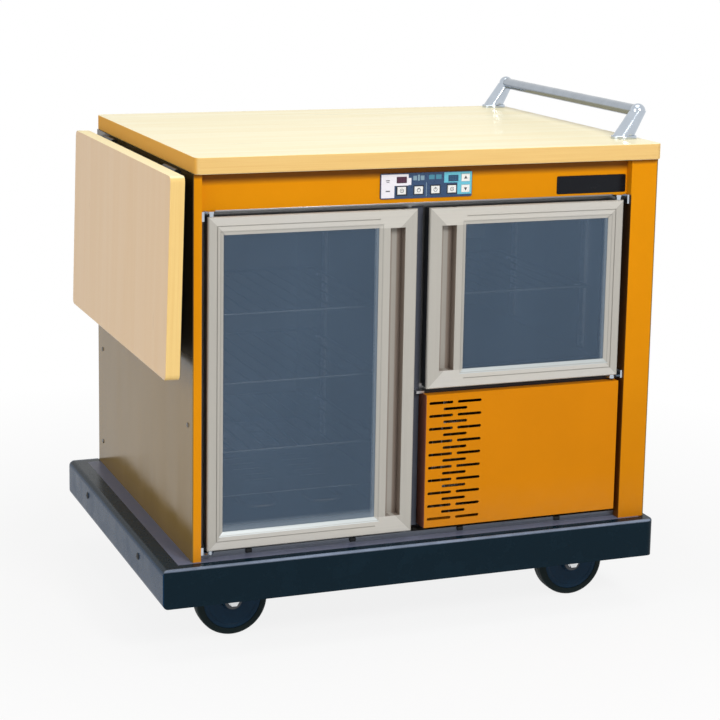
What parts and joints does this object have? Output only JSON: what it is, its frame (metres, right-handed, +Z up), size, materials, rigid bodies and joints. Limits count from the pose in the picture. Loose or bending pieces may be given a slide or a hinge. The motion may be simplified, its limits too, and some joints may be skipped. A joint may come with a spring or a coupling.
{
  "type": "food service cart",
  "caption": "Hot and cold meal serving wagon with glass doors, wood worktop, drop leaf, push handle, slotted machine panel and bumper base on casters.",
  "frame": {"origin": "on the floor, under the middle of the bumper base", "axes": "+X towards the push handle end, -Y towards the door side, +Z up"},
  "size_m": [1.08, 0.81, 1.069],
  "materials": {
    "wood_board": "satin",
    "orange_paint": "satin",
    "side_sheet": "gloss",
    "bumper_black": "satin",
    "deck_steel": "satin",
    "stainless": "satin",
    "bright_chrome": "polished",
    "zinc_steel": "satin",
    "door_frame": "satin",
    "door_seal": "matte",
    "door_pane": "gloss",
    "caster_tyre": "matte",
    "foam_fill": "matte",
    "coil_metal": "satin",
    "machine_black": "gloss",
    "dark_plastic": "satin",
    "fascia_film": "gloss",
    "key_cap": "satin"
  },
  "bodies": {
    "cabinet": {"deck_plate": "deck_steel", "bumper_left": "bumper_black", "bumper_front": "bumper_black", "bumper_rear": "bumper_black", "bumper_right": "bumper_black", "side_panel_left": "side_sheet", "side_panel_right": "side_sheet", "back_panel": "side_sheet", "post_left": "orange_paint", "post_right": "orange_paint", "header_panel": "orange_paint", "sill_rail": "stainless", "mid_rail": "stainless", "centre_divider": "door_seal", "machine_panel": "orange_paint", "worktop": "wood_board", "handle_bar": "bright_chrome", "handle_posts": "bright_chrome", "power_gland": "dark_plastic", "hot_liner": "stainless", "cold_liner": "stainless", "insulation": "foam_fill", "pilasters": "stainless", "wire_shelves": "stainless", "heater": "stainless", "heater_cover": "stainless", "evaporator": "coil_metal", "evaporator_cover": "stainless", "condenser": "coil_metal", "fan_motor": "machine_black", "compressor": "machine_black", "drain_pan": "stainless", "control_fascia": "fascia_film", "control_box": "dark_plastic", "door_hinges": "bright_chrome", "leaf_hinges_fixed": "zinc_steel", "stay_brackets": "zinc_steel", "caster_mounts": "zinc_steel"},
    "hot_door": {"hot_door_face": "door_frame", "hot_door_back": "door_seal", "hot_door_glass": "door_pane"},
    "cold_door": {"cold_door_face": "door_frame", "cold_door_back": "door_seal", "cold_door_glass": "door_pane"},
    "leaf": {"drop_leaf": "wood_board", "leaf_hinges_moving": "zinc_steel"},
    "stay": {"swing_stay": "zinc_steel"},
    "swivel_front": {"swivel_fork_front": "zinc_steel"},
    "swivel_rear": {"swivel_fork_rear": "zinc_steel"},
    "front_left_wheel": {"wheel_front_left": "caster_tyre"},
    "front_right_wheel": {"wheel_front_right": "caster_tyre"},
    "rear_left_wheel": {"wheel_rear_left": "caster_tyre"},
    "rear_right_wheel": {"wheel_rear_right": "caster_tyre"},
    "fan": {"condenser_fan": "dark_plastic"},
    "hot_set_key_body": {"hot_set_key": "key_cap"},
    "hot_power_key_body": {"hot_power_key": "key_cap"},
    "cold_power_key_body": {"cold_power_key": "key_cap"},
    "cold_set_key_body": {"cold_set_key": "key_cap"},
    "down_key_body": {"down_key": "key_cap"},
    "up_key_body": {"up_key": "key_cap"}
  },
  "joints": [
    {"name": "hot_door_hinge", "type": "hinge", "parent": "cabinet", "child": "hot_door", "pos_m": [-0.433, -0.365, 0.5455], "axis": [0, 0, -1], "range_deg": [0, 110]},
    {"name": "cold_door_hinge", "type": "hinge", "parent": "cabinet", "child": "cold_door", "pos_m": [0.444, -0.365, 0.693], "axis": [0, 0, 1], "range_deg": [0, 110]},
    {"name": "leaf_hinge", "type": "hinge", "parent": "cabinet", "child": "leaf", "pos_m": [-0.48, 0.001, 0.955], "axis": [0, 1, 0], "range_deg": [0, 88.5]},
    {"name": "stay_hinge", "type": "hinge", "parent": "cabinet", "child": "stay", "pos_m": [-0.481, 0.001, 0.805], "axis": [0, 1, 0], "range_deg": [0, 135.5]},
    {"name": "swivel_front_turn", "type": "hinge", "parent": "cabinet", "child": "swivel_front", "pos_m": [0.373, -0.267, 0.17], "axis": [0, 0, 1], "continuous": true},
    {"name": "swivel_rear_turn", "type": "hinge", "parent": "cabinet", "child": "swivel_rear", "pos_m": [0.373, 0.267, 0.17], "axis": [0, 0, 1], "continuous": true},
    {"name": "wheel_front_left_roll", "type": "hinge", "parent": "cabinet", "child": "front_left_wheel", "pos_m": [-0.361, -0.267, 0.075], "axis": [0, 1, 0], "continuous": true},
    {"name": "wheel_rear_left_roll", "type": "hinge", "parent": "cabinet", "child": "rear_left_wheel", "pos_m": [-0.361, 0.267, 0.075], "axis": [0, 1, 0], "continuous": true},
    {"name": "wheel_front_right_roll", "type": "hinge", "parent": "swivel_front", "child": "front_right_wheel", "pos_m": [0.407, -0.267, 0.075], "axis": [0, 1, 0], "continuous": true},
    {"name": "wheel_rear_right_roll", "type": "hinge", "parent": "swivel_rear", "child": "rear_right_wheel", "pos_m": [0.407, 0.267, 0.075], "axis": [0, 1, 0], "continuous": true},
    {"name": "fan_turn", "type": "hinge", "parent": "cabinet", "child": "fan", "pos_m": [0.138, -0.193, 0.309], "axis": [0, 1, 0], "continuous": true},
    {"name": "hot_set_press", "type": "slide", "parent": "cabinet", "child": "hot_set_key_body", "axis": [0, 1, 0], "range_m": [0, 0.001], "stiffness_N_per_m": 600, "springref_m": -0.001},
    {"name": "hot_power_press", "type": "slide", "parent": "cabinet", "child": "hot_power_key_body", "axis": [0, 1, 0], "range_m": [0, 0.001], "stiffness_N_per_m": 600, "springref_m": -0.001},
    {"name": "cold_power_press", "type": "slide", "parent": "cabinet", "child": "cold_power_key_body", "axis": [0, 1, 0], "range_m": [0, 0.001], "stiffness_N_per_m": 600, "springref_m": -0.001},
    {"name": "cold_set_press", "type": "slide", "parent": "cabinet", "child": "cold_set_key_body", "axis": [0, 1, 0], "range_m": [0, 0.001], "stiffness_N_per_m": 600, "springref_m": -0.001},
    {"name": "down_press", "type": "slide", "parent": "cabinet", "child": "down_key_body", "axis": [0, 1, 0], "range_m": [0, 0.001], "stiffness_N_per_m": 600, "springref_m": -0.001},
    {"name": "up_press", "type": "slide", "parent": "cabinet", "child": "up_key_body", "axis": [0, 1, 0], "range_m": [0, 0.001], "stiffness_N_per_m": 600, "springref_m": -0.001}
  ],
  "couplings": [
    {"joint": "stay_hinge", "follows": "leaf_hinge", "ratio": 1.5254}
  ]
}
